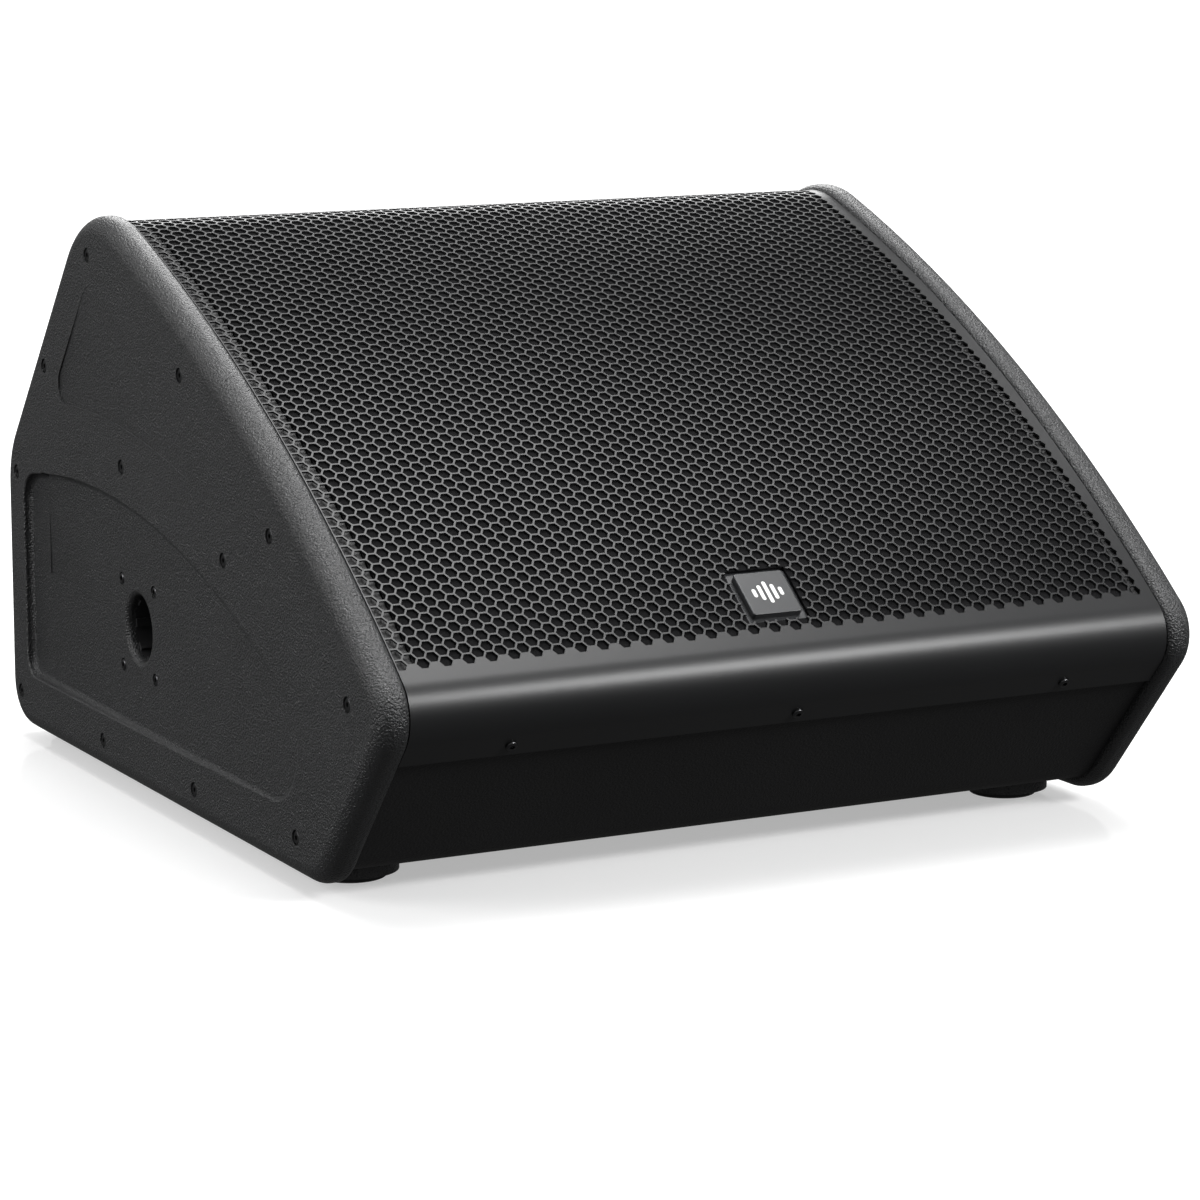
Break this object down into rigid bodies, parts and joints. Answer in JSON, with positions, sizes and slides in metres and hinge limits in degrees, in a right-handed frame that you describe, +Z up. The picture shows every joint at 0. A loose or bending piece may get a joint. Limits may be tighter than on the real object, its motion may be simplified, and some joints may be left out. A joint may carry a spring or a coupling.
{
  "type": "stage monitor wedge",
  "caption": "Low powered floor monitor loudspeaker: curved steel grille between moulded end cheeks, pole socket, coaxial driver and rear connector panel.",
  "frame": {"origin": "centre of the footprint, on the floor under the rubber feet", "axes": "+Z up, +Y towards the rear connector panel, -Y the listener's side, +X to the right seen from the front"},
  "size_m": [0.52, 0.5771, 0.3484],
  "materials": {
    "cheek_plastic": "leather-grained moulded black",
    "cabinet_paint": "textured black paint over plywood",
    "grille_steel": "satin black powder coat",
    "foam": "open-cell acoustic foam",
    "rubber": "moulded",
    "black_screw": "black oxide",
    "badge": "satin with pale mark",
    "moulded_plastic": "fine spark grain",
    "cast_alloy": "as cast",
    "plated_steel": "zinc plated",
    "ferrite": "ground ceramic",
    "paper_cone": "ribbed treated paper",
    "copper_coil": "enamelled",
    "surround_cloth": "doped cloth",
    "spider_cloth": "impregnated cloth",
    "panel_metal": "fine black texture",
    "knob_plastic": "soft touch",
    "circuit_board": "solder mask",
    "capacitor_sleeve": "shrink sleeve",
    "lamp": "diffused lens",
    "wadding": "lofted polyester",
    "lead_sheath": "cable sheath"
  },
  "bodies": {
    "cabinet": {"left_cheek": "cheek_plastic", "right_cheek": "cheek_plastic", "cheek_screws": "black_screw", "pole_cup": "moulded_plastic", "pole_cup_screws": "black_screw", "left_side_panel": "cabinet_paint", "right_side_panel": "cabinet_paint", "bottom_board": "cabinet_paint", "lower_front_panel": "cabinet_paint", "nose_rail": "cabinet_paint", "top_rail": "cabinet_paint", "shoulder_rail": "cabinet_paint", "rear_slope_panel": "cabinet_paint", "rear_panel": "cabinet_paint", "baffle": "cabinet_paint", "port_tubes": "moulded_plastic", "grille": "grille_steel", "grille_foam": "foam", "badge": "badge", "grille_screws": "black_screw", "feet": "rubber", "foot_screws": "plated_steel", "basket": "cast_alloy", "basket_bolts": "black_screw", "top_plate": "plated_steel", "magnet": "ferrite", "pole_piece": "plated_steel", "surround": "surround_cloth", "spider": "spider_cloth", "horn": "moulded_plastic", "hf_magnet": "ferrite", "hf_cover": "moulded_plastic", "handle_cup": "moulded_plastic", "handle_grip": "rubber", "rear_screws": "black_screw", "panel_tray": "moulded_plastic", "amp_plate": "panel_metal", "panel_screws": "black_screw", "mains_inlet": "moulded_plastic", "power_switch": "moulded_plastic", "level_pot": "plated_steel", "mode_switch": "moulded_plastic", "status_lamps": "lamp", "input_socket": "panel_metal", "output_socket": "panel_metal", "heatsink": "cast_alloy", "amp_board": "circuit_board", "standoffs": "plated_steel", "capacitors": "capacitor_sleeve", "transformer": "copper_coil", "wadding": "wadding", "driver_lead": "lead_sheath"},
    "cone_assembly": {"cone": "paper_cone", "voice_coil": "copper_coil"},
    "treble_diaphragm": {"hf_diaphragm": "plated_steel"},
    "power_rocker": {"power_rocker": "knob_plastic"},
    "level_knob": {"level_knob": "knob_plastic", "level_shaft": "plated_steel"},
    "mode_button": {"mode_button": "knob_plastic"},
    "input_latch": {"input_latch": "plated_steel"}
  },
  "joints": [
    {"name": "cone_travel", "type": "slide", "parent": "cabinet", "child": "cone_assembly", "axis": [0, -0.4808, 0.8768], "range_m": [-0.005, 0.005], "stiffness_N_per_m": 2500, "deforming": ["surround", "spider"]},
    {"name": "treble_diaphragm_travel", "type": "slide", "parent": "cabinet", "child": "treble_diaphragm", "axis": [0, -0.4808, 0.8768], "range_m": [-0.0003, 0.0003], "stiffness_N_per_m": 8000},
    {"name": "power_rocker_tilt", "type": "hinge", "parent": "cabinet", "child": "power_rocker", "pos_m": [0.072, 0.255, 0.098], "axis": [-1, 0, 0], "range_deg": [0, 16]},
    {"name": "level_knob_turn", "type": "hinge", "parent": "cabinet", "child": "level_knob", "pos_m": [-0.006, 0.26, 0.104], "axis": [0, 1, 0], "range_deg": [-150, 150]},
    {"name": "mode_button_press", "type": "slide", "parent": "cabinet", "child": "mode_button", "axis": [0, -1, 0], "range_m": [0, 0.0015], "stiffness_N_per_m": 500, "springref_m": -0.0005},
    {"name": "input_latch_press", "type": "slide", "parent": "cabinet", "child": "input_latch", "axis": [0, 0, -1], "range_m": [0, 0.0015], "stiffness_N_per_m": 500, "springref_m": -0.0005}
  ]
}
